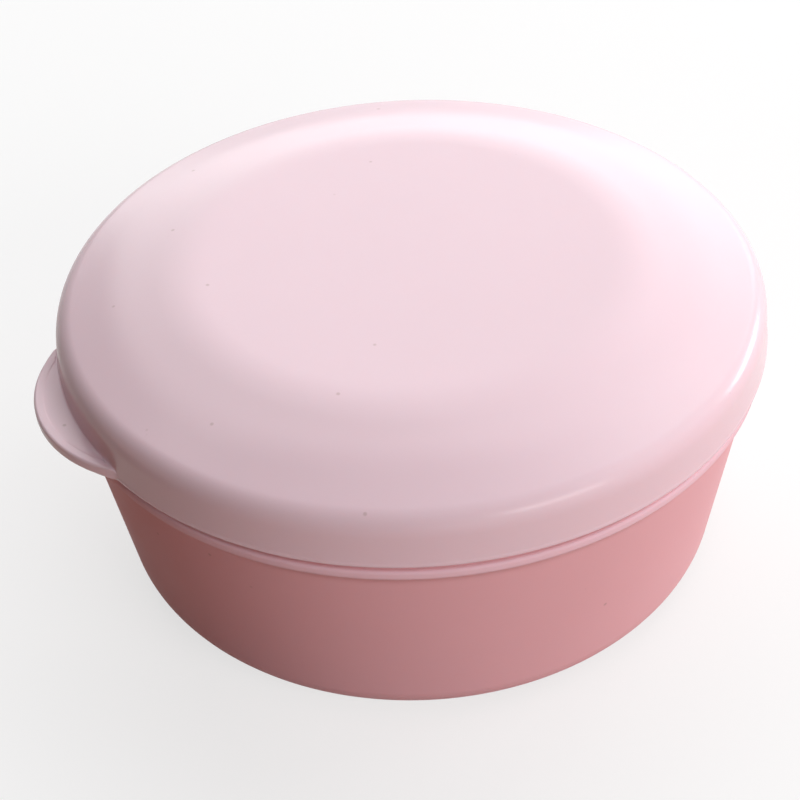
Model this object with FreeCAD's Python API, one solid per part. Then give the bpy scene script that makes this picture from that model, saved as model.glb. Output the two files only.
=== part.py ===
import FreeCAD, Part
import math
import os

# Round travel soap box with its lid on, in millimetres, +Z up.
# The origin is on the round axis, in the plane that the foot ring stands on.
# The lid's thumb tab points along -X.

# Driving dimensions of the base
rim_radius = 48.4  # outside of the bowl wall just under the flange
bowl_height = 32.8  # from the table to the top of the flange
wall_taper = 9.6  # lean of the bowl wall, in degrees
base_wall = 1.5
floor_thickness = 1.8
foot_corner_radius = 5.2
bowl_corner_radius = 4.0
foot_ring_width = 3.4
foot_recess = 1.0  # how far the underside stands clear of the table
foot_edge_bevel = 0.5
flange_reach = 1.0  # how far the flange stands out from the wall
flange_thickness = 1.2
flange_round = 0.5
neck_height = 5.0  # the rim that goes up into the lid, above the flange
neck_inset = 0.3  # step in from the wall to the neck
neck_edge_bevel = 0.3
neck_bead_height = 0.25
neck_bead_drop = 2.2  # from the top of the neck down to its snap bead
bead_half_width = 0.6  # half the height of each snap bead's foot

# Driving dimensions of the lid
parting_gap = 1.2  # open line between the flange and the lid's edge
lid_wall = 1.3  # thickness of the skirt
lid_top_wall = 1.5  # thickness of the top
skirt_draft = 4.0  # lean of the skirt, in degrees
skirt_edge_round = 0.4
lid_bead_height = 0.15
lid_bead_rise = 0.7  # from the lid's edge up to its snap bead
shoulder_rise = 1.6  # from the seal's seat up to the corner of the shoulder
shoulder_round = 3.4
crown_rise = 4.7  # from the corner of the shoulder up to the flat middle
crown_radius = 31.8  # flat middle of the lid
crown_edge_round = 26.0
slope_bulge = 0.35  # how much the ring round the flat middle bulges
slope_bulge_round = 60.0
plug_wall = 1.2  # ring inside the lid that enters the bowl
plug_depth = 4.2  # from the seal's seat down to the end of that ring
plug_edge_bevel = 0.4
plug_root_bevel = 0.8

# Driving dimensions of the thumb tab
tab_arc_radius = 18.0
tab_reach = 4.4  # from the skirt to the tip
tab_thickness = 1.6
tab_root_round = 4.0
tab_edge_round = 0.45
tab_lip_width = 1.3
tab_lip_height = 0.2

# Driving dimensions of the seal ring
seal_height = 1.6
seal_edge_bevel = 0.3

# Driving dimensions of the drain tray
tray_leg_height = 5.6
tray_plate = 1.6
tray_rim_height = 2.6  # from the top of the plate
tray_rim_wall = 1.4
tray_edge_bevel = 0.5
tray_corner_round = 1.2
leg_count = 6
leg_foot_radius = 2.0
leg_top_radius = 2.8
slot_width = 3.0
slot_pitch = 7.5
slot_bridge = 6.0  # solid strip left between the two halves of a row
slot_margin = 0.8  # from the ends of the slots to the legs
rib_width = 1.8
rib_height = 1.2
rib_round = 0.7
notch_radius = 10.0  # finger notches in the tray's edge
notch_depth = 8.0

# Clearances
snap_clearance = 0.2  # between the two snap beads as they pass
plug_clearance = 0.4  # between the bowl and the ring inside the lid
seal_clearance = 0.15  # each side of the seal ring in its channel
tray_clearance = 0.9  # round the tray
leg_clearance = 0.2  # from the legs to the rounded corner of the bowl

# Heights, worked out upwards from the table
flange_top = bowl_height
flange_bottom = flange_top - flange_thickness
neck_top = flange_top + neck_height
floor_top = foot_recess + floor_thickness
lid_edge = flange_top + parting_gap
seal_seat = neck_top + seal_height
shoulder_corner = seal_seat + shoulder_rise
crown = shoulder_corner + crown_rise
tray_underside = floor_top + tray_leg_height
tray_top = tray_underside + tray_plate
tray_rim_top = tray_top + tray_rim_height

# Radii, worked out from the rim of the base
taper = math.tan(math.radians(wall_taper))
draft = math.tan(math.radians(skirt_draft))
level_wall = base_wall / math.cos(math.radians(wall_taper))
flange_radius = rim_radius + flange_reach
neck_radius = rim_radius - neck_inset
mouth_radius = rim_radius - level_wall
skirt_bore = neck_radius + neck_bead_height + snap_clearance + lid_bead_height
lid_radius = skirt_bore + lid_wall
plug_radius = mouth_radius - plug_clearance
plug_bore = plug_radius - plug_wall


def wall_radius(height):
    """Outside of the bowl wall at a height."""
    return rim_radius - (flange_bottom - height) * taper


def bowl_radius(height):
    """Inside of the bowl wall at a height."""
    return wall_radius(height) - level_wall


def tray_radius(height):
    """Outside of the tray at a height, side by side with the bowl wall."""
    return bowl_radius(height) - tray_clearance


def skirt_radius(height):
    """Outside of the lid's skirt at a height."""
    return lid_radius - (height - lid_edge) * draft


def skirt_bore_radius(height):
    """Inside of the lid's skirt at a height."""
    return skirt_radius(height) - lid_wall


def corner_reach(rounding, lean):
    """Length of flat that a rounded corner takes up where a wall leans out from a floor."""
    return rounding / math.tan(math.radians(90 + lean) / 2)


def sharp(x, z):
    """Corner of a section left as it is."""
    return x, z, 0, False


def rounded(x, z, radius):
    """Corner of a section with a round of that radius."""
    return x, z, radius, True


def bevelled(x, z, leg):
    """Corner of a section with its edge broken by that much along each side."""
    return x, z, leg, False


def section_wire(corners):
    """Closed wire in the XZ plane through the corners of a section."""
    points = [FreeCAD.Vector(x, 0, z) for x, z, size, is_round in corners]
    starts = []
    ends = []
    corner_edges = []
    for index, (x, z, size, is_round) in enumerate(corners):
        point = points[index]
        before = (points[index - 1] - point).normalize()
        after = (points[(index + 1) % len(points)] - point).normalize()
        half_angle = before.getAngle(after) / 2
        reach = size / math.tan(half_angle) if is_round else size
        start = point + before * reach
        end = point + after * reach
        corner_edge = None
        if is_round:
            inward = (before + after).normalize()
            nearest = point + inward * (size / math.sin(half_angle) - size)
            corner_edge = Part.Arc(start, nearest, end).toShape()
        elif size:
            corner_edge = Part.LineSegment(start, end).toShape()
        starts.append(start)
        ends.append(end)
        corner_edges.append(corner_edge)
    edges = []
    for index, corner_edge in enumerate(corner_edges):
        if corner_edge:
            edges.append(corner_edge)
        next_start = starts[(index + 1) % len(starts)]
        edges.append(Part.LineSegment(ends[index], next_start).toShape())
    return Part.Wire(edges)


def turned(corners):
    """Solid of revolution about Z from a half section."""
    section = Part.Face(section_wire(corners))
    return section.revolve(FreeCAD.Vector(0, 0, 0), FreeCAD.Vector(0, 0, 1), 360)


def make_base():
    """Bowl with a recessed underside, a flange and a neck with a snap bead."""
    foot_flat = wall_radius(0) - corner_reach(foot_corner_radius, wall_taper)
    foot_inside = foot_flat - foot_ring_width
    bead = neck_top - neck_bead_drop
    return turned([
        sharp(0, foot_recess),
        bevelled(foot_inside - foot_recess, foot_recess, foot_edge_bevel),
        bevelled(foot_inside, 0, foot_edge_bevel),
        rounded(wall_radius(0), 0, foot_corner_radius),
        rounded(rim_radius, flange_bottom, flange_round),
        rounded(flange_radius, flange_bottom, flange_round),
        rounded(flange_radius, flange_top, flange_round),
        sharp(neck_radius, flange_top),
        sharp(neck_radius, bead - bead_half_width),
        rounded(neck_radius + neck_bead_height, bead, bead_half_width),
        sharp(neck_radius, bead + bead_half_width),
        bevelled(neck_radius, neck_top, neck_edge_bevel),
        bevelled(mouth_radius, neck_top, neck_edge_bevel),
        sharp(mouth_radius, flange_bottom),
        rounded(bowl_radius(floor_top), floor_top, bowl_corner_radius),
        sharp(0, floor_top),
    ])


def make_lid_shell():
    """Cap with a flat middle, a sloping ring, a rounded shoulder, a skirt and the seal's channel."""
    shoulder_radius = skirt_radius(shoulder_corner)
    slope = math.atan2(crown_rise, shoulder_radius - crown_radius)
    middle_radius = (crown_radius + shoulder_radius) / 2 + slope_bulge * math.sin(slope)
    middle_height = (crown + shoulder_corner) / 2 + slope_bulge * math.cos(slope)
    ceiling = crown - lid_top_wall
    ceiling_radius = crown_radius - lid_top_wall * math.tan(slope / 2)
    plug_root = ceiling - (plug_bore - ceiling_radius) * math.tan(slope)
    bead = lid_edge + lid_bead_rise
    return turned([
        sharp(0, crown),
        rounded(crown_radius, crown, crown_edge_round),
        rounded(middle_radius, middle_height, slope_bulge_round),
        rounded(shoulder_radius, shoulder_corner, shoulder_round),
        rounded(lid_radius, lid_edge, skirt_edge_round),
        sharp(skirt_bore - lid_bead_height, lid_edge),
        sharp(skirt_bore - lid_bead_height, bead),
        sharp(skirt_bore_radius(bead + bead_half_width), bead + bead_half_width),
        sharp(skirt_bore_radius(seal_seat), seal_seat),
        sharp(plug_radius, seal_seat),
        bevelled(plug_radius, seal_seat - plug_depth, plug_edge_bevel),
        bevelled(plug_bore, seal_seat - plug_depth, plug_edge_bevel),
        bevelled(plug_bore, plug_root, plug_root_bevel),
        rounded(ceiling_radius, ceiling, crown_edge_round),
        sharp(0, ceiling),
    ])


def make_tab():
    """Crescent thumb tab with a low lip along its edge and hollow corners where it leaves the skirt."""
    centre = FreeCAD.Vector(-(lid_radius + tab_reach - tab_arc_radius), 0, 0)
    tip = centre - FreeCAD.Vector(tab_arc_radius, 0, 0)
    to_root = lid_radius + tab_root_round
    to_arc = tab_arc_radius + tab_root_round
    spread = math.acos((to_root ** 2 + centre.Length ** 2 - to_arc ** 2) / (2 * to_root * centre.Length))
    inside = lid_radius - lid_wall / 2
    sides = []
    for side in (-1, 1):
        outward = FreeCAD.Vector(-math.cos(spread), side * math.sin(spread), 0)
        root = outward * to_root
        on_skirt = outward * lid_radius
        on_arc = centre + (root - centre).normalize() * tab_arc_radius
        halfway = root + ((on_skirt - root) + (on_arc - root)).normalize() * tab_root_round
        sides.append((outward * inside, on_skirt, halfway, on_arc))
    first, last = sides
    outline = Part.Wire([
        Part.LineSegment(first[0], first[1]).toShape(),
        Part.Arc(first[1], first[2], first[3]).toShape(),
        Part.Arc(first[3], tip, last[3]).toShape(),
        Part.Arc(last[3], last[2], last[1]).toShape(),
        Part.LineSegment(last[1], last[0]).toShape(),
        Part.Arc(last[0], FreeCAD.Vector(-inside, 0, 0), first[0]).toShape(),
    ])
    full_height = tab_thickness + tab_lip_height
    blank = Part.Face(outline).extrude(FreeCAD.Vector(0, 0, full_height))
    rims = [edge for edge in blank.Edges if edge.BoundBox.ZLength < tab_edge_round and on_tab_rim(edge)]
    blank = blank.makeFillet(tab_edge_round, rims)
    dish = Part.makeCylinder(tab_arc_radius - tab_lip_width, full_height)
    dish.translate(centre + FreeCAD.Vector(0, 0, tab_thickness))
    tab = blank.cut(dish)
    tab.translate(FreeCAD.Vector(0, 0, lid_edge))
    return tab


def on_tab_rim(edge):
    """True for a level edge of the tab that runs along its outline, outside the skirt."""
    middle = edge.valueAt((edge.FirstParameter + edge.LastParameter) / 2)
    return math.hypot(middle.x, middle.y) > lid_radius


def make_lid():
    """Lid moulding: the cap and its tab in one piece."""
    return make_lid_shell().fuse(make_tab()).removeSplitter()


def make_seal_ring():
    """Soft ring between the neck of the base and the seat in the lid's channel."""
    inner = plug_radius + seal_clearance
    outer = skirt_bore_radius(seal_seat) - seal_clearance
    return turned([
        bevelled(inner, neck_top, seal_edge_bevel),
        bevelled(outer, neck_top, seal_edge_bevel),
        bevelled(outer, seal_seat, seal_edge_bevel),
        bevelled(inner, seal_seat, seal_edge_bevel),
    ])


def rounded_slot(start, end, row):
    """Cutter for a slot with round ends along X."""
    depth = tray_plate * 3
    below = tray_underside - tray_plate
    across = slot_width / 2
    body = Part.makeBox(end - start, slot_width, depth, FreeCAD.Vector(start, row - across, below))
    ends = [Part.makeCylinder(across, depth, FreeCAD.Vector(x, row, below)) for x in (start, end)]
    return body.fuse(ends)


def make_rib(half_length, row):
    """Rib along X that holds the bar off the plate."""
    sunk = tray_plate / 2
    section = Part.Face(section_wire([
        sharp(-rib_width / 2, -sunk),
        sharp(rib_width / 2, -sunk),
        rounded(rib_width / 2, rib_height, rib_round),
        rounded(-rib_width / 2, rib_height, rib_round),
    ]))
    rib = section.extrude(FreeCAD.Vector(0, 2 * half_length, 0))
    rib.rotate(FreeCAD.Vector(0, 0, 0), FreeCAD.Vector(0, 0, 1), -90)
    rib.translate(FreeCAD.Vector(-half_length, row, tray_top))
    return rib


def make_drain_tray():
    """Loose tray: a plate with a rim, rows of slots between ribs, legs and two finger notches."""
    tray = turned([
        sharp(0, tray_underside),
        rounded(tray_radius(tray_underside), tray_underside, tray_corner_round),
        bevelled(tray_radius(tray_rim_top), tray_rim_top, tray_edge_bevel),
        bevelled(tray_radius(tray_rim_top) - tray_rim_wall, tray_rim_top, tray_edge_bevel),
        bevelled(tray_radius(tray_top) - tray_rim_wall, tray_top, tray_edge_bevel),
        sharp(0, tray_top),
    ])
    floor_flat = bowl_radius(floor_top) - corner_reach(bowl_corner_radius, wall_taper)
    leg_circle = floor_flat - leg_foot_radius - leg_clearance
    field = leg_circle - leg_top_radius - slot_margin
    rows = int(field / slot_pitch)
    cutters = []
    ribs = []
    for count in range(-rows, rows + 1):
        rib_row = count * slot_pitch
        ribs.append(make_rib(math.sqrt(field ** 2 - rib_row ** 2), rib_row))
    for count in range(-rows, rows):
        slot_row = (count + 0.5) * slot_pitch
        far_end = math.sqrt(field ** 2 - slot_row ** 2) - slot_width / 2
        near_end = (slot_bridge + slot_width) / 2
        for side in (-1, 1):
            start, end = sorted((side * near_end, side * far_end))
            cutters.append(rounded_slot(start, end, slot_row))
    for side in (-1, 1):
        notch_centre = side * (tray_radius(tray_rim_top) - notch_depth + notch_radius)
        notch_height = tray_rim_top - tray_underside + 2 * tray_plate
        place = FreeCAD.Vector(0, notch_centre, tray_underside - tray_plate)
        cutters.append(Part.makeCylinder(notch_radius, notch_height, place))
    legs = []
    for count in range(leg_count):
        turn = 2 * math.pi * count / leg_count
        place = FreeCAD.Vector(leg_circle * math.cos(turn), leg_circle * math.sin(turn), floor_top)
        legs.append(Part.makeCone(leg_foot_radius, leg_top_radius, tray_leg_height, place))
    return tray.cut(cutters).fuse(ribs + legs).removeSplitter()


def main():
    os.makedirs("parts", exist_ok=True)
    nodes = {
        "base": make_base(),
        "lid": make_lid(),
        "seal_ring": make_seal_ring(),
        "drain_tray": make_drain_tray(),
    }
    for name, shape in nodes.items():
        shape.exportStep(f"parts/{name}.step")


main()
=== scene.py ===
import math

import bmesh
import bpy
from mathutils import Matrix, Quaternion, Vector


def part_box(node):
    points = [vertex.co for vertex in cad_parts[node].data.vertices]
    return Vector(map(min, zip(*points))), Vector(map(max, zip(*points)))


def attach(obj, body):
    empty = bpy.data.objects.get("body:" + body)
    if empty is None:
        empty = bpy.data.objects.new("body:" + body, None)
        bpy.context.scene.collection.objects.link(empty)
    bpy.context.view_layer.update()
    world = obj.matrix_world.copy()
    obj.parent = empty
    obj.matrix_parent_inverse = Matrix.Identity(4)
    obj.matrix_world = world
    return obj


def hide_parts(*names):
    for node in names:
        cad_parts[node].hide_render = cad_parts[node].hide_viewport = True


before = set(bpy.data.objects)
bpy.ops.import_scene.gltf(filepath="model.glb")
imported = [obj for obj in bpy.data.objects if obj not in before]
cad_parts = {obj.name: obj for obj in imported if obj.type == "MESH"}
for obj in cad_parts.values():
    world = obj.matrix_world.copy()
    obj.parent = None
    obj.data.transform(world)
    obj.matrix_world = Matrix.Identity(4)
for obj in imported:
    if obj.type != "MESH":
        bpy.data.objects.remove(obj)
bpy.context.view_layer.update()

MM = 0.001  # a millimetre, in Blender's metres

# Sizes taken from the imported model, in millimetres
base_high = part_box("base")[1] / MM
lid_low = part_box("lid")[0] / MM
lid_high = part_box("lid")[1] / MM
seal_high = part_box("seal_ring")[1] / MM
tray_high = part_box("drain_tray")[1] / MM
flange_radius = base_high.y
neck_top = base_high.z
lid_radius = lid_high.y
lid_edge = lid_low.z
crown = lid_high.z
tab_reach = -lid_low.x - lid_radius
seal_seat = seal_high.z
seal_outer = seal_high.y

# Sizes of the base, in millimetres
wall_taper = math.tan(math.radians(9.6))
wall_across = 1.521
floor_thickness = 1.8
foot_corner_round = 5.2
bowl_corner_round = 4.0
foot_ring_width = 3.4
foot_recess = 1.0
foot_edge_round = 0.5
flange_reach = 1.0
flange_thickness = 1.2
flange_round = 0.55
flange_flare_height = 1.6  # how far down the flange's hollow underside runs into the wall
flange_flare_round = 3.0
neck_height = 5.0
neck_inset = 0.3
neck_edge_round = 0.4
neck_root_round = 0.9
neck_bead_height = 0.25
neck_bead_drop = 2.2
bead_half_width = 0.6
bead_round = 0.6
mouth_round = 4.0
flange_top = neck_top - neck_height
flange_bottom = flange_top - flange_thickness
rim_radius = flange_radius - flange_reach
neck_radius = rim_radius - neck_inset
mouth_radius = rim_radius - wall_across
floor_top = foot_recess + floor_thickness

# Sizes of the lid, in millimetres
skirt_draft = math.tan(math.radians(4))
skirt_edge_round = 0.4
skirt_lip_height = 0.05  # fine lip round the skirt's lower edge
skirt_lip_width = 0.8
skirt_lip_flat = 0.7  # share of the lip's width that has its full height
lid_wall = 1.3
lid_top_wall = 1.5
lid_bead_height = 0.15
lid_bead_rise = 0.7
lid_bead_round = 0.3
shoulder_rise = 1.6
shoulder_round = 3.4
crown_radius = 31.8
crown_edge_round = 26.0
slope_bulge = 0.35
slope_bulge_round = 60.0
channel_round = 0.2
plug_clearance = 0.4
plug_wall = 1.2
plug_depth = 4.2
plug_edge_round = 0.5
plug_root_round = 0.8
shoulder_corner = seal_seat + shoulder_rise
skirt_bore = lid_radius - lid_wall
plug_radius = mouth_radius - plug_clearance
plug_bore = plug_radius - plug_wall

# Sizes of the thumb tab, in millimetres
tab_arc_radius = 19.3
tab_thickness = 1.6
tab_root_round = 1.2
tab_edge_round = 0.45
tab_joint_round = 0.2
tab_lip_width = 1.2
tab_lip_height = 0.06
tab_lip_slope = 0.3
tab_least_width = 0.02
tab_fade_before = math.radians(1.2)  # turns over which the tab's ends run into the skirt's edge
tab_fade_after = math.radians(0.6)
tab_centre = lid_radius + tab_reach - tab_arc_radius  # from the axis to the centre of the tab's arc
root_distance = lid_radius + tab_root_round  # from the axis to the centre of a root's round
arc_distance = tab_arc_radius + tab_root_round  # from the arc's centre to the centre of a root's round
# Turn from the tab's tip to where its root meets the skirt
tab_spread = math.acos(
    (root_distance ** 2 + tab_centre ** 2 - arc_distance ** 2) / (2 * root_distance * tab_centre)
)

# Sizes of the seal ring, in millimetres
seal_clearance = 0.15
seal_gap = 0.02  # hair's breadth to the rim under the ring and the seat over it
seal_round = 0.5

# Sizes of the drain tray, in millimetres
tray_plate = 1.6
tray_rim_height = 2.6
tray_rim_wall = 1.4
tray_edge_round = 0.5
tray_corner_round = 1.2
tray_inner_round = 0.9
leg_count = 6
leg_foot_radius = 2.0
leg_top_radius = 2.8
leg_clearance = 0.2
leg_foot_round = 0.5
slot_width = 3.0
slot_pitch = 7.5
slot_bridge = 6.0
slot_margin = 0.8
rib_width = 1.8
rib_height = 1.2
rib_round = 0.7
notch_radius = 10.0
notch_depth = 8.0
soft_edge = 0.3
soft_edge_angle = math.radians(40)
tray_rim_top = tray_high.z
tray_top = tray_rim_top - tray_rim_height
tray_underside = tray_top - tray_plate

# Fineness of the meshes, with steps in millimetres
longest_step = 1.6
smallest_step = 0.001
support_step = 0.15
arc_turn = math.radians(6)
fewest_arc_steps = 3
base_columns = 360
lid_columns = 250
tab_columns = 140
tray_columns = 240
circle_points = 32
leg_round_steps = 4
soft_edge_segments = 3
tab_clear_turn = math.radians(21)

# Number of steps along each stretch of the lid's lower edge
skirt_steps = 4
joint_steps = 5
dish_steps = 8
lip_slope_steps = 6
lip_top_steps = 3
tab_side_steps = 4
underside_steps = 10
quarter_steps = 6

# Colours of the plastics
warm_pink = (0.86, 0.49, 0.535)
pale_pink = (0.86, 0.64, 0.71)
milky_white = (0.82, 0.80, 0.78)

# Specks in the plastic, with lengths in millimetres
speck_spacing = 4.0
speck_radius = 0.35
speck_share = 0.2  # share of the places that have a speck
speck_strength = 0.3  # share of the speck's own colour in its middle
speck_colour = (0.32, 0.16, 0.12)

# Light in the depth of the plastic, and a pale band painted on its thin outer edge as light there, with
# lengths in millimetres
depth_reach = 1.5
depth_colour = (1.0, 0.5, 0.4)
painted_edge_light_colour = (0.90, 0.62, 0.70)
painted_edge_light_width = 0.2
painted_edge_light_fade = 0.25

# Clouding, gloss and skin of the plastic, with waves to the metre
cloud_waves = 45
cloud_detail = 4
cloud_spread = 0.02
gloss_waves = 160
gloss_detail = 2
gloss_spread = 0.15
skin_waves = 420
skin_detail = 3
skin_strength = 0.06
skin_height = 0.2  # in millimetres
plastic_index = 1.49

# Floor and soft light all round
floor_half_width = 3.0  # in metres
floor_gap = 0.02  # hair's breadth under the foot ring, in millimetres
floor_seen = (0.95, 0.95, 0.95)
floor_glow = 0.7  # share of the floor's white that a shadow leaves alone
floor_bounce = (0.28, 0.085, 0.04)
white_light = (1, 1, 1)
fill_strength = 0.01

# Camera of the photograph
view_azimuth = math.radians(-110.5)
view_elevation = math.radians(39.62)
view_roll = math.radians(-3.23)
view_distance = 300 * MM
view_nearest = 10 * MM
view_aim = Vector((-2.045, 0.762, 19.78)) * MM
lens_length = 92.09
sensor_width = 36.0


def skirt_radius(height):
    """Outside of the lid's skirt at a height."""
    return lid_radius - (height - lid_edge) * skirt_draft


def wall_radius(height):
    """Outside of the bowl wall at a height."""
    return rim_radius - (flange_bottom - height) * wall_taper


def corner_reach(rounding):
    """Length of flat that a round takes up where the bowl wall leans out from a floor."""
    return rounding / math.tan((math.pi / 2 + math.atan(wall_taper)) / 2)


def smooth_share(value, low, high):
    """Share of the way from low to high, eased at both ends."""
    share = min(max((value - low) / (high - low), 0), 1)
    return share * share * (3 - 2 * share)


# Sections and turned meshes


def straight(start, end):
    """Points from start up to, not including, end, with one close to each end."""
    length = (end - start).length
    steps = max(1, math.ceil(length / longest_step))
    shares = [step / steps for step in range(steps)]
    if length > 4 * support_step:
        shares.append(support_step / length)
        shares.append(1 - support_step / length)
    return [start.lerp(end, share) for share in sorted(shares)]


def rounded_corner(before, place, after, rounding):
    """Points along the round at a corner of a section."""
    to_before = (before - place).normalized()
    to_after = (after - place).normalized()
    half_angle = to_before.angle(to_after) / 2
    reach = rounding / math.tan(half_angle)
    centre = place + (to_before + to_after).normalized() * (rounding / math.sin(half_angle))
    spoke = place + to_before * reach - centre
    turn = -spoke.angle_signed(place + to_after * reach - centre)
    steps = max(fewest_arc_steps, math.ceil(abs(turn) / arc_turn))
    points = []
    for step in range(steps + 1):
        cosine = math.cos(turn * step / steps)
        sine = math.sin(turn * step / steps)
        across = spoke.x * cosine - spoke.y * sine
        up = spoke.x * sine + spoke.y * cosine
        points.append(centre + Vector((across, up)))
    return points


def section(corners):
    """Points along an open section through corners (radius, height, round)."""
    places = [Vector((radius, height)) for radius, height, rounding in corners]
    rounds = [rounding for radius, height, rounding in corners]
    runs = []
    for index, rounding in enumerate(rounds):
        if rounding:
            runs.append(rounded_corner(places[index - 1], places[index], places[index + 1], rounding))
        else:
            runs.append([places[index]])
    points = []
    for run, following in zip(runs, runs[1:]):
        points.extend(run[:-1])
        points.extend(straight(run[-1], following[0]))
    return points + runs[-1]


def even_turns(count):
    """Angles of evenly spread columns round the axis."""
    return [2 * math.pi * step / count for step in range(count)]


def turned_mesh(name, turns, section_at, closed=False):
    """Mesh of quads round the Z axis, where section_at gives the section's points at a turn."""
    mesh = bmesh.new()
    columns = []
    poles = {}
    for turn in turns:
        column = []
        for row, point in enumerate(section_at(turn)):
            if point.x > 0:
                across = point.x * MM
                place = (across * math.cos(turn), across * math.sin(turn), point.y * MM)
                column.append(mesh.verts.new(place))
                continue
            if row not in poles:
                poles[row] = mesh.verts.new((0, 0, point.y * MM))
            column.append(poles[row])
        columns.append(column)
    for column, neighbour in zip(columns, columns[1:] + columns[:1]):
        rows = len(column)
        for row in range(rows if closed else rows - 1):
            following = (row + 1) % rows
            corners = [column[row], neighbour[row], neighbour[following], column[following]]
            mesh.faces.new(list(dict.fromkeys(corners)))
    bmesh.ops.dissolve_degenerate(mesh, edges=mesh.edges, dist=smallest_step * MM)
    bmesh.ops.recalc_face_normals(mesh, faces=mesh.faces)
    data = bpy.data.meshes.new(name)
    mesh.to_mesh(data)
    mesh.free()
    data.shade_smooth()
    piece = bpy.data.objects.new(name, data)
    bpy.context.scene.collection.objects.link(piece)
    return piece


# Base


def make_bowl():
    """Bowl with a foot ring, a flange and a neck with a snap bead."""
    foot_flat = wall_radius(0) - corner_reach(foot_corner_round)
    foot_inside = foot_flat - foot_ring_width
    flare_low = flange_bottom - flange_flare_height
    bead = neck_top - neck_bead_drop
    points = section([
        (0, foot_recess, 0),
        (foot_inside - foot_recess, foot_recess, foot_edge_round),
        (foot_inside, 0, foot_edge_round),
        (wall_radius(0), 0, foot_corner_round),
        (wall_radius(flare_low), flare_low, flange_flare_round),
        (flange_radius, flange_bottom, flange_round),
        (flange_radius, flange_top, flange_round),
        (neck_radius, flange_top, neck_root_round),
        (neck_radius, bead - bead_half_width, bead_round),
        (neck_radius + neck_bead_height, bead, bead_round),
        (neck_radius, bead + bead_half_width, bead_round),
        (neck_radius, neck_top, neck_edge_round),
        (mouth_radius, neck_top, neck_edge_round),
        (mouth_radius, flange_bottom, mouth_round),
        (wall_radius(floor_top) - wall_across, floor_top, bowl_corner_round),
        (0, floor_top, 0),
    ])
    return turned_mesh("bowl", even_turns(base_columns), lambda turn: points)


# Lid


def tab_circle(radius, turn):
    """Distance from the axis to a circle about the tab's centre, at a turn away from the tab's tip."""
    across = tab_centre * math.sin(turn)
    return tab_centre * math.cos(turn) + math.sqrt(max(radius ** 2 - across ** 2, 0))


def tab_outline(turn):
    """Distance from the axis to the tab's outline, at a turn away from the tab's tip."""
    share = tab_arc_radius / arc_distance
    meeting_x = tab_centre + (root_distance * math.cos(tab_spread) - tab_centre) * share
    meeting_y = root_distance * math.sin(tab_spread) * share
    if turn >= tab_spread:
        return lid_radius
    if turn > math.atan2(meeting_y, meeting_x):
        along = root_distance * math.cos(turn - tab_spread)
        across = root_distance * math.sin(turn - tab_spread)
        return along - math.sqrt(tab_root_round ** 2 - across ** 2)
    return tab_circle(tab_arc_radius, turn)


def quarter_round(centre, radius, start, turn, steps):
    """Points of a quarter round from a start angle, with a turn of 90 or -90 degrees."""
    angles = [math.radians(start + turn * step / steps) for step in range(steps + 1)]
    return [centre + Vector((math.cos(angle), math.sin(angle))) * radius for angle in angles]


def spaced(start, end, count):
    """Points from start towards end, without the last one."""
    return [start.lerp(end, step / count) for step in range(count)]


def tab_edge(turn, start, inner_edge):
    """Lid's lower edge through the tab, whose middle is sunk inside a lip, from a start on the skirt."""
    lip_top = lid_edge + tab_thickness + tab_lip_height
    outline = tab_outline(turn)
    dish = tab_circle(tab_arc_radius - tab_lip_width, turn)
    skirt = skirt_radius(lid_edge + tab_thickness)
    width = max(outline - skirt, tab_least_width)
    joint = min(tab_joint_round, width / 4)
    edge = min(tab_edge_round, width / 4)
    lip_start = min(max(dish - tab_lip_slope, skirt + joint), outline - edge)
    lip_end = min(max(dish, lip_start), outline - edge)
    sunk = tab_lip_height * smooth_share(dish, skirt, skirt + tab_lip_slope)
    level = lip_top - sunk
    joint_round = quarter_round(Vector((skirt + joint, level + joint)), joint, 180, 90, joint_steps)
    points = spaced(start, joint_round[0], skirt_steps) + joint_round[:-1]
    points += spaced(joint_round[-1], Vector((lip_start, level)), dish_steps)
    for step in range(lip_slope_steps):
        across = lip_start + (lip_end - lip_start) * step / lip_slope_steps
        points.append(Vector((across, level + sunk * smooth_share(step, 0, lip_slope_steps))))
    points += spaced(Vector((lip_end, lip_top)), Vector((outline - edge, lip_top)), lip_top_steps)
    points += quarter_round(Vector((outline - edge, lip_top - edge)), edge, 90, -90, quarter_steps)
    low_round = quarter_round(Vector((outline - edge, lid_edge + edge)), edge, 0, -90, quarter_steps)
    points += spaced(points[-1], low_round[0], tab_side_steps)[1:] + low_round
    return points + spaced(points[-1], inner_edge, underside_steps)[1:]


def plain_edge(start, inner_edge, count):
    """Lid's lower edge beside the tab, with the skirt's fine lip, in a given number of points."""
    centre = Vector((lid_radius - skirt_edge_round, lid_edge + skirt_edge_round))
    edge_round = quarter_round(centre, skirt_edge_round, 0, -90, quarter_steps)
    points_above = count - len(edge_round) - (underside_steps - 1)
    points = spaced(start, edge_round[0], points_above) + edge_round
    for point in points:
        rise = (point.y - lid_edge) / skirt_lip_width
        point.x += skirt_lip_height * (1 - smooth_share(rise, skirt_lip_flat, 1))
    return points + spaced(points[-1], inner_edge, underside_steps)[1:]


def lower_edge(turn, top, inner_edge):
    """Lid's lower edge at a turn away from the tab's tip, from a height on the skirt to its inner edge."""
    start = Vector((skirt_radius(top), top))
    tab = tab_edge(turn, start, inner_edge)
    plain = plain_edge(start, inner_edge, len(tab))
    weight = 1 - smooth_share(turn, tab_spread - tab_fade_before, tab_spread + tab_fade_after)
    return [low.lerp(high, weight) for low, high in zip(plain, tab)]


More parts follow.
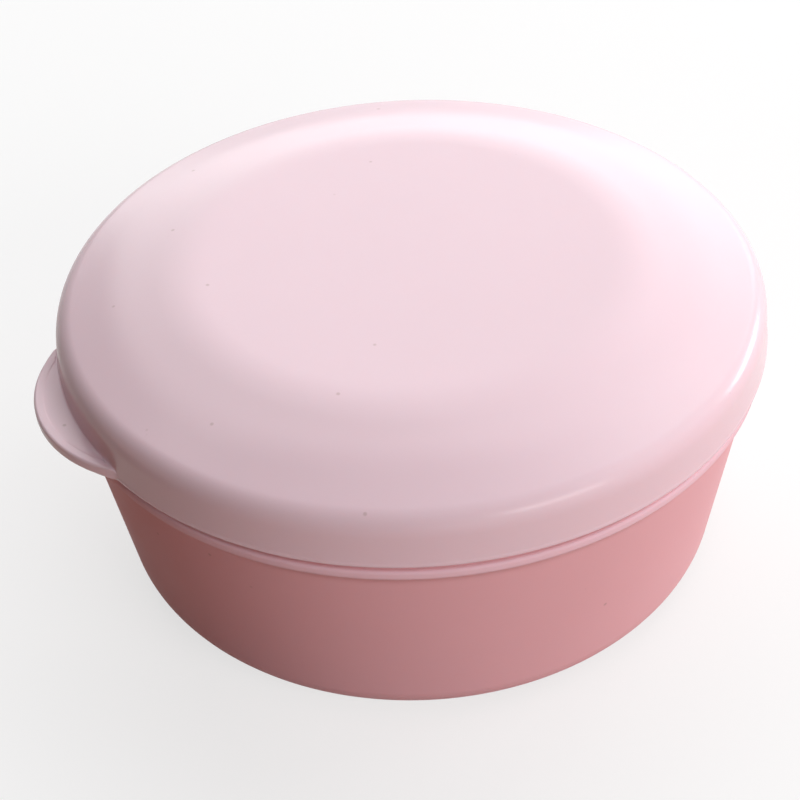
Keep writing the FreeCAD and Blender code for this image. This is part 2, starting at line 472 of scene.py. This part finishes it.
def make_cap():
    """Lid with a flat middle, a convex slope, a rounded shoulder, a skirt, a channel and the tab."""
    shoulder_radius = skirt_radius(shoulder_corner)
    slope = math.atan2(crown - shoulder_corner, shoulder_radius - crown_radius)
    middle_radius = (crown_radius + shoulder_radius) / 2 + slope_bulge * math.sin(slope)
    middle_height = (crown + shoulder_corner) / 2 + slope_bulge * math.cos(slope)
    ceiling = crown - lid_top_wall
    ceiling_radius = crown_radius - lid_top_wall * math.tan(slope / 2)
    plug_root = ceiling - (plug_bore - ceiling_radius) * math.tan(slope)
    bead = lid_edge + lid_bead_rise
    edge_top = lid_edge + tab_thickness + tab_lip_height + 2 * tab_joint_round
    outside = section([
        (0, crown, 0),
        (crown_radius, crown, crown_edge_round),
        (middle_radius, middle_height, slope_bulge_round),
        (shoulder_radius, shoulder_corner, shoulder_round),
        (skirt_radius(edge_top), edge_top, 0),
    ])[:-1]
    inside = section([
        (skirt_bore - lid_bead_height, lid_edge, 0),
        (skirt_bore - lid_bead_height, bead, lid_bead_round),
        (skirt_radius(bead + bead_half_width) - lid_wall, bead + bead_half_width, lid_bead_round),
        (skirt_radius(seal_seat) - lid_wall, seal_seat, channel_round),
        (plug_radius, seal_seat, channel_round),
        (plug_radius, seal_seat - plug_depth, plug_edge_round),
        (plug_bore, seal_seat - plug_depth, plug_edge_round),
        (plug_bore, plug_root, plug_root_round),
        (ceiling_radius, ceiling, crown_edge_round),
        (0, ceiling, 0),
    ])
    spread_step = (2 * math.pi - 2 * tab_clear_turn) / lid_columns
    turns = [math.pi + tab_clear_turn + spread_step * step for step in range(lid_columns)]
    tab_step = 2 * tab_clear_turn / tab_columns
    turns += [math.pi - tab_clear_turn + tab_step * step for step in range(tab_columns)]

    def section_at(turn):
        from_tip = abs((turn % (2 * math.pi)) - math.pi)
        return outside + lower_edge(from_tip, edge_top, inside[0]) + inside

    return turned_mesh("cap", turns, section_at)


# Seal ring


def make_seal():
    """Soft ring that fills the channel between the lid's skirt and its inner ring."""
    inner = plug_radius + seal_clearance
    low = neck_top + seal_gap
    high = seal_seat - seal_gap
    corners = ((inner, low), (seal_outer, low), (seal_outer, high), (inner, high))
    places = [Vector(corner) for corner in corners]
    points = []
    for index, place in enumerate(places):
        points += rounded_corner(places[index - 1], place, places[(index + 1) % len(places)], seal_round)
    return turned_mesh("seal", even_turns(base_columns), lambda turn: points, closed=True)


# Drain tray


def circle(centre_x, centre_y, radius, height, points=circle_points):
    """Level circle of points."""
    turns = even_turns(points)
    return [
        Vector((centre_x + radius * math.cos(turn), centre_y + radius * math.sin(turn), height))
        for turn in turns
    ]


def slot_outline(start, end, row, height):
    """Level outline of a slot along X with round ends."""
    half = circle_points // 2
    outline = []
    for centre, first_turn in ((end, -math.pi / 2), (start, math.pi / 2)):
        for step in range(half + 1):
            turn = first_turn + math.pi * step / half
            across = slot_width / 2
            outline.append(Vector((centre + across * math.cos(turn), row + across * math.sin(turn), height)))
    return outline


def rib_outline(along, row):
    """Upright outline of a rib at a place along X, with its top edges rounded."""
    half = rib_width / 2
    low = tray_top - tray_plate / 2
    high = tray_top + rib_height
    corners = [Vector((-half, low)), Vector((half, low)), Vector((half, high)), Vector((-half, high))]
    right_round = rounded_corner(corners[1], corners[2], corners[3], rib_round)
    left_round = rounded_corner(corners[2], corners[3], corners[0], rib_round)
    outline = corners[:2] + right_round + left_round
    return [Vector((along, row + point.x, point.y)) for point in outline]


def closed_solid(mesh, loops):
    """Adds a solid through loops of points, with a flat face at each end."""
    rings = [[mesh.verts.new(point * MM) for point in loop] for loop in loops]
    for ring, following in zip(rings, rings[1:]):
        for step in range(len(ring)):
            after = (step + 1) % len(ring)
            mesh.faces.new((ring[step], ring[after], following[after], following[step]))
    mesh.faces.new(list(reversed(rings[0])))
    mesh.faces.new(rings[-1])


def solid_object(name, solids):
    """Object of one or more solids, each given as its loops of points."""
    mesh = bmesh.new()
    for loops in solids:
        closed_solid(mesh, loops)
    bmesh.ops.recalc_face_normals(mesh, faces=mesh.faces)
    data = bpy.data.meshes.new(name)
    mesh.to_mesh(data)
    mesh.free()
    piece = bpy.data.objects.new(name, data)
    bpy.context.scene.collection.objects.link(piece)
    return piece


def combine(piece, tool, operation):
    """Joins a tool to a piece, or cuts it out of it, and drops the tool."""
    modifier = piece.modifiers.new(operation, "BOOLEAN")
    modifier.operation = operation
    modifier.solver = "EXACT"
    modifier.object = tool
    shape = piece.evaluated_get(bpy.context.evaluated_depsgraph_get())
    data = bpy.data.meshes.new_from_object(shape)
    piece.modifiers.clear()
    piece.data = data
    bpy.data.objects.remove(tool)


def tray_radius(height):
    """Outside of the tray at a height, side by side with the bowl wall."""
    return tray_high.x - (tray_rim_top - height) * wall_taper


def make_tray_plate():
    """Round plate with an upright rim."""
    corners = [
        Vector((0, tray_underside)),
        Vector((tray_radius(tray_underside), tray_underside)),
        Vector((tray_radius(tray_rim_top), tray_rim_top)),
        Vector((tray_radius(tray_rim_top) - tray_rim_wall, tray_rim_top)),
        Vector((tray_radius(tray_top) - tray_rim_wall, tray_top)),
        Vector((0, tray_top)),
    ]
    rounds = (tray_corner_round, tray_edge_round, tray_edge_round, tray_inner_round)
    points = []
    for index, rounding in enumerate(rounds, 1):
        points += rounded_corner(corners[index - 1], corners[index], corners[index + 1], rounding)
    return solid_object("tray", [[circle(0, 0, point.x, point.y, tray_columns) for point in points]])


def make_tray():
    """Loose tray: a plate with a rim, rows of slots between ribs, legs and two finger notches."""
    floor_flat = wall_radius(floor_top) - wall_across - corner_reach(bowl_corner_round)
    leg_circle = floor_flat - leg_foot_radius - leg_clearance
    field = leg_circle - leg_top_radius - slot_margin
    rows = int(field / slot_pitch)
    below = tray_underside - tray_plate
    above = tray_rim_top + tray_plate
    cuts = []
    for count in range(-rows, rows):
        row = (count + 0.5) * slot_pitch
        far_end = math.sqrt(field ** 2 - row ** 2) - slot_width / 2
        near_end = (slot_bridge + slot_width) / 2
        for side in (-1, 1):
            start, end = sorted((side * near_end, side * far_end))
            cuts.append([slot_outline(start, end, row, height) for height in (below, above)])
    for side in (-1, 1):
        centre = side * (tray_radius(tray_rim_top) - notch_depth + notch_radius)
        notch_points = 2 * circle_points
        cuts.append([circle(0, centre, notch_radius, height, notch_points) for height in (below, above)])
    additions = []
    for count in range(-rows, rows + 1):
        row = count * slot_pitch
        half_length = math.sqrt(field ** 2 - row ** 2)
        additions.append([rib_outline(along, row) for along in (-half_length, half_length)])
    for count in range(leg_count):
        turn = 2 * math.pi * count / leg_count
        place = leg_circle * math.cos(turn), leg_circle * math.sin(turn)
        foot = leg_foot_radius - leg_foot_round
        leg = [circle(*place, foot, floor_top)]
        for step in range(1, leg_round_steps + 1):
            angle = math.radians(90 * step / leg_round_steps)
            rise = floor_top + leg_foot_round * (1 - math.cos(angle))
            leg.append(circle(*place, foot + leg_foot_round * math.sin(angle), rise))
        leg.append(circle(*place, leg_top_radius, tray_underside))
        leg.append(circle(*place, leg_top_radius, tray_underside + tray_plate / 2))
        additions.append(leg)
    tray = make_tray_plate()
    combine(tray, solid_object("tray_cuts", cuts), "DIFFERENCE")
    combine(tray, solid_object("tray_additions", additions), "UNION")
    soften = tray.modifiers.new("soft_edges", "BEVEL")
    soften.width = soft_edge * MM
    soften.segments = soft_edge_segments
    soften.limit_method = "ANGLE"
    soften.angle_limit = soft_edge_angle
    soften.harden_normals = True
    tray.data.shade_smooth()
    return tray


# Materials


def new_material(name):
    """Empty node material with its output node."""
    material = bpy.data.materials.new(name)
    material.use_nodes = True
    material.node_tree.nodes.clear()
    output = material.node_tree.nodes.new("ShaderNodeOutputMaterial")
    return material, material.node_tree.nodes, material.node_tree.links, output


def add_noise(nodes, links, place, scale, detail):
    """Noise over the object, with that many waves to the metre."""
    noise = nodes.new("ShaderNodeTexNoise")
    noise.inputs["Scale"].default_value = scale
    noise.inputs["Detail"].default_value = detail
    links.new(place.outputs["Object"], noise.inputs["Vector"])
    return noise.outputs["Fac"]


def add_range(nodes, links, value, low, high):
    """Stretches a value between 0 and 1 to lie between low and high."""
    stretch = nodes.new("ShaderNodeMapRange")
    stretch.inputs["To Min"].default_value = low
    stretch.inputs["To Max"].default_value = high
    links.new(value, stretch.inputs["Value"])
    return stretch


def add_specks(nodes, links, place):
    """Share of dark that is more than 0 only on a few tiny round specks."""
    cells = nodes.new("ShaderNodeTexVoronoi")
    cells.inputs["Scale"].default_value = 1 / (speck_spacing * MM)
    links.new(place.outputs["Object"], cells.inputs["Vector"])
    spot = add_range(nodes, links, cells.outputs["Distance"], speck_strength, 0)
    spot.inputs["From Min"].default_value = 0.5 * speck_radius / speck_spacing
    spot.inputs["From Max"].default_value = speck_radius / speck_spacing
    pick = nodes.new("ShaderNodeSeparateColor")
    links.new(cells.outputs["Color"], pick.inputs["Color"])
    chosen = nodes.new("ShaderNodeMath")
    chosen.operation = "LESS_THAN"
    chosen.inputs[1].default_value = speck_share
    links.new(pick.outputs["Red"], chosen.inputs[0])
    both = nodes.new("ShaderNodeMath")
    both.operation = "MULTIPLY"
    links.new(spot.outputs["Result"], both.inputs[0])
    links.new(chosen.outputs["Value"], both.inputs[1])
    return both.outputs["Value"]


def add_mix(nodes, links, share, first, second):
    """Colour between two colours, each a socket or a fixed colour."""
    mix = nodes.new("ShaderNodeMix")
    mix.data_type = "RGBA"
    links.new(share, mix.inputs["Factor"])
    # The mix node's colours are its inputs 6 and 7 and its output 2
    for socket, colour in ((mix.inputs[6], first), (mix.inputs[7], second)):
        if isinstance(colour, tuple):
            socket.default_value = (*colour, 1)
        else:
            links.new(colour, socket)
    return mix.outputs[2]


def add_painted_edge_light(nodes, links, place, radius):
    """Share of painted light that is 1 from a radius outwards, where a pale band stands in for light through
    and on the thin edge, and fades inside it.
    """
    flat = nodes.new("ShaderNodeVectorMath")
    flat.operation = "MULTIPLY"
    flat.inputs[1].default_value = (1, 1, 0)
    links.new(place.outputs["Object"], flat.inputs[0])
    distance = nodes.new("ShaderNodeVectorMath")
    distance.operation = "LENGTH"
    links.new(flat.outputs["Vector"], distance.inputs[0])
    share = add_range(nodes, links, distance.outputs["Value"], 0, 1)
    share.inputs["From Min"].default_value = (radius - painted_edge_light_fade) * MM
    share.inputs["From Max"].default_value = radius * MM
    return share.outputs["Result"]


def make_plastic(name, colour, roughness, gloss, depth, painted_light_radius=None):
    """Moulded plastic with faint clouds, uneven gloss, a fine skin, a few specks and light in its depth."""
    material, nodes, links, output = new_material(name)
    place = nodes.new("ShaderNodeTexCoord")
    dark_cloud = tuple((1 - cloud_spread) * channel for channel in colour)
    pale_cloud = tuple((1 + cloud_spread) * channel for channel in colour)
    cloud = add_noise(nodes, links, place, cloud_waves, cloud_detail)
    clouded = add_mix(nodes, links, cloud, dark_cloud, pale_cloud)
    # Painted highlight: a pale band on the thin outer edge stands in for light through it and on it
    if painted_light_radius:
        painted_light_share = add_painted_edge_light(nodes, links, place, painted_light_radius)
        clouded = add_mix(nodes, links, painted_light_share, clouded, painted_edge_light_colour)
    specked = add_mix(nodes, links, add_specks(nodes, links, place), clouded, speck_colour)
    patches = add_noise(nodes, links, place, gloss_waves, gloss_detail)
    smooth = (1 - gloss_spread) * roughness
    rough = (1 + gloss_spread) * roughness
    uneven = add_range(nodes, links, patches, smooth, rough)
    bump = nodes.new("ShaderNodeBump")
    bump.inputs["Strength"].default_value = skin_strength
    bump.inputs["Distance"].default_value = skin_height * MM
    links.new(add_noise(nodes, links, place, skin_waves, skin_detail), bump.inputs["Height"])
    shader = nodes.new("ShaderNodeBsdfPrincipled")
    shader.inputs["IOR"].default_value = plastic_index
    shader.inputs["Specular IOR Level"].default_value = gloss
    shader.inputs["Subsurface Weight"].default_value = depth
    shader.inputs["Subsurface Radius"].default_value = depth_colour
    shader.inputs["Subsurface Scale"].default_value = depth_reach * MM
    links.new(specked, shader.inputs["Base Color"])
    links.new(uneven.outputs["Result"], shader.inputs["Roughness"])
    links.new(bump.outputs["Normal"], shader.inputs["Normal"])
    links.new(shader.outputs["BSDF"], output.inputs["Surface"])
    return material


# Floor, world, lights and camera


def looked_at(nodes, links):
    """Socket that is 1 for what the camera sees, straight or in a reflection or through glass."""
    path = nodes.new("ShaderNodeLightPath")
    total = path.outputs["Is Camera Ray"]
    for kind in ("Is Glossy Ray", "Is Transmission Ray"):
        higher = nodes.new("ShaderNodeMath")
        higher.operation = "MAXIMUM"
        links.new(total, higher.inputs[0])
        links.new(path.outputs[kind], higher.inputs[1])
        total = higher.outputs[0]
    return total


def make_floor():
    """Wide plain floor under the box, white to look at, which throws a little warm light back up."""
    half = floor_half_width
    data = bpy.data.meshes.new("floor")
    low = -floor_gap * MM
    corners = [(-half, -half, low), (half, -half, low), (half, half, low), (-half, half, low)]
    data.from_pydata(corners, [], [(0, 1, 2, 3)])
    floor = bpy.data.objects.new("floor", data)
    bpy.context.scene.collection.objects.link(floor)
    material, nodes, links, output = new_material("floor_paint")
    seen = nodes.new("ShaderNodeBsdfDiffuse")
    seen.inputs["Color"].default_value = (*floor_seen, 1)
    white = nodes.new("ShaderNodeEmission")
    white.inputs["Strength"].default_value = 1
    paper = nodes.new("ShaderNodeMixShader")
    paper.inputs["Fac"].default_value = floor_glow
    links.new(seen.outputs["BSDF"], paper.inputs[1])
    links.new(white.outputs["Emission"], paper.inputs[2])
    bounced = nodes.new("ShaderNodeBsdfDiffuse")
    bounced.inputs["Color"].default_value = (*floor_bounce, 1)
    choice = nodes.new("ShaderNodeMixShader")
    links.new(looked_at(nodes, links), choice.inputs["Fac"])
    links.new(bounced.outputs["BSDF"], choice.inputs[1])
    links.new(paper.outputs["Shader"], choice.inputs[2])
    links.new(choice.outputs["Shader"], output.inputs["Surface"])
    material.cycles.emission_sampling = "NONE"
    data.materials.append(material)


def make_world():
    """Soft even light all round, white where the camera and reflections look past the floor."""
    world = bpy.data.worlds.new("studio")
    bpy.context.scene.world = world
    world.use_nodes = True
    nodes = world.node_tree.nodes
    links = world.node_tree.links
    nodes.clear()
    output = nodes.new("ShaderNodeOutputWorld")
    fill = nodes.new("ShaderNodeBackground")
    fill.inputs["Color"].default_value = (*white_light, 1)
    fill.inputs["Strength"].default_value = fill_strength
    white = nodes.new("ShaderNodeBackground")
    white.inputs["Color"].default_value = (*white_light, 1)
    white.inputs["Strength"].default_value = 1
    choice = nodes.new("ShaderNodeMixShader")
    links.new(looked_at(nodes, links), choice.inputs["Fac"])
    links.new(fill.outputs["Background"], choice.inputs[1])
    links.new(white.outputs["Background"], choice.inputs[2])
    links.new(choice.outputs["Shader"], output.inputs["Surface"])


def place_light(name, azimuth, elevation, width, height, power, colour):
    """Soft light a metre away, aimed at the box, placed by angles from straight in front of the camera."""
    data = bpy.data.lights.new(name, "AREA")
    data.shape = "RECTANGLE"
    data.size = width
    data.size_y = height
    data.energy = power
    data.color = colour
    lamp = bpy.data.objects.new(name, data)
    bpy.context.scene.collection.objects.link(lamp)
    turn = view_azimuth + math.radians(azimuth)
    rise = math.radians(elevation)
    direction = Vector((
        math.cos(rise) * math.cos(turn),
        math.cos(rise) * math.sin(turn),
        math.sin(rise),
    ))
    lamp.location = view_aim + direction
    lamp.rotation_mode = "QUATERNION"
    lamp.rotation_quaternion = direction.to_track_quat("Z", "Y")
    return lamp


def make_lights():
    """Broad light from behind, softer ones from the right, and weaker ones from the front and the left."""
    # Angles in degrees, width and height in metres, power in watts
    place_light("window", 171, 38, 1.35, 1.3, 12.6, white_light)
    place_light("right", 100, 42, 1.0, 0.7, 2.4, white_light)
    place_light("back_right_low", 114, 12, 0.4, 0.2, 3, white_light)
    front_right = place_light("front_right", 36, 14, 1.3, 0.46, 5.0, (1, 0.97, 0.96))
    # Seen from behind, a mirror image of this lamp would hide the lid's colour
    front_right.visible_glossy = False
    place_light("left_low", -85, 5, 0.5, 0.3, 0.35, (1, 0.45, 0.25))
    place_light("front_strip", 40, 32, 0.5, 0.25, 2.3, (1, 0.97, 0.97))


def make_camera():
    """Camera at the photograph's viewpoint."""
    data = bpy.data.cameras.new("camera")
    data.lens = lens_length
    data.sensor_width = sensor_width
    data.sensor_fit = "HORIZONTAL"
    data.clip_start = view_nearest
    camera = bpy.data.objects.new("camera", data)
    bpy.context.scene.collection.objects.link(camera)
    direction = Vector((
        math.cos(view_elevation) * math.cos(view_azimuth),
        math.cos(view_elevation) * math.sin(view_azimuth),
        math.sin(view_elevation),
    ))
    camera.location = view_aim + direction * view_distance
    camera.rotation_mode = "QUATERNION"
    camera.rotation_quaternion = direction.to_track_quat("Z", "Y") @ Quaternion((0, 0, 1), view_roll)
    bpy.context.scene.camera = camera


def dress(piece, body, node, material):
    """Puts a piece on its body in place of its node, with its finish."""
    piece.data.materials.append(material)
    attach(piece, body)
    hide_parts(node)


def main():
    """Dresses each body of the frame and sets up the floor, the light and the camera."""
    # The base's flange gets a painted highlight, a pale band on its thin outer edge
    base_plastic = make_plastic(
        "warm_pink_plastic", warm_pink, roughness=0.5, gloss=0.03, depth=0.1,
        painted_light_radius=flange_radius - painted_edge_light_width,
    )
    lid_plastic = make_plastic("pale_pink_plastic", pale_pink, roughness=0.22, gloss=0.3, depth=0.1)
    tray_plastic = make_plastic("tray_pink_plastic", pale_pink, roughness=0.35, gloss=0.4, depth=0.1)
    silicone = make_plastic("milky_silicone", milky_white, roughness=0.5, gloss=0.4, depth=0.3)
    dress(make_bowl(), "base", "base", base_plastic)
    dress(make_cap(), "lid", "lid", lid_plastic)
    dress(make_seal(), "seal_ring", "seal_ring", silicone)
    dress(make_tray(), "drain_tray", "drain_tray", tray_plastic)
    make_floor()
    make_world()
    make_lights()
    make_camera()
    bpy.context.scene.view_settings.view_transform = "Standard"


main()
